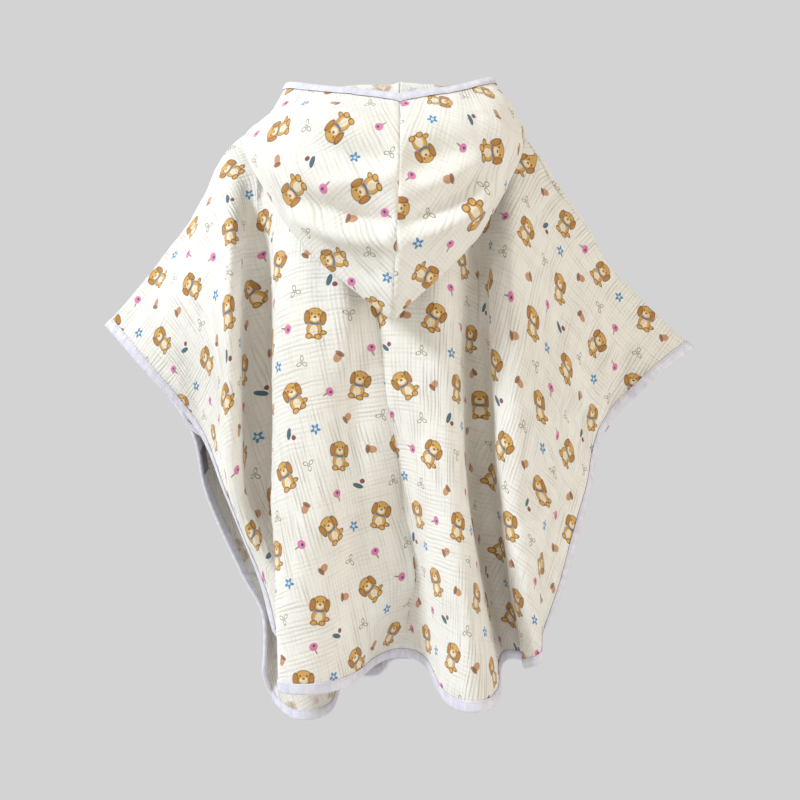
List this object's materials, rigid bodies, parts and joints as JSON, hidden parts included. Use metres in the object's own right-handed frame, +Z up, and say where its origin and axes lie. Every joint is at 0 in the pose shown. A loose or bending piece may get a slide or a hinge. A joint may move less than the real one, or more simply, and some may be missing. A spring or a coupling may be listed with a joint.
{
  "type": "hooded bath poncho",
  "caption": "Child's hooded bath poncho of crinkled cotton gauze with bound edges, open sleeves and sides, hanging as if worn with its hood down on the back.",
  "frame": {"origin": "middle of the neck opening, level with the points where the shoulder seams start", "axes": "+Z up; +Y the way the wearer faces, so the back with the hood is on the -Y side; +X to the wearer's right"},
  "size_m": [0.6505, 0.3063, 0.6969],
  "materials": {
    "gauze": "crinkled cotton gauze with a scattered print",
    "satin": "satin binding tape",
    "grey_tape": "woven tape, bare",
    "white_tape": "woven tape, bare",
    "thread": "sewing thread"
  },
  "bodies": {
    "root": {"back_panel": "gauze", "front_panel": "gauze", "hood_left": "gauze", "hood_right": "gauze", "back_binding": "satin", "front_binding": "satin", "hood_binding": "satin", "side_label": "grey_tape", "size_label": "white_tape", "tack_left": "thread", "tack_right": "thread"}
  },
  "joints": []
}
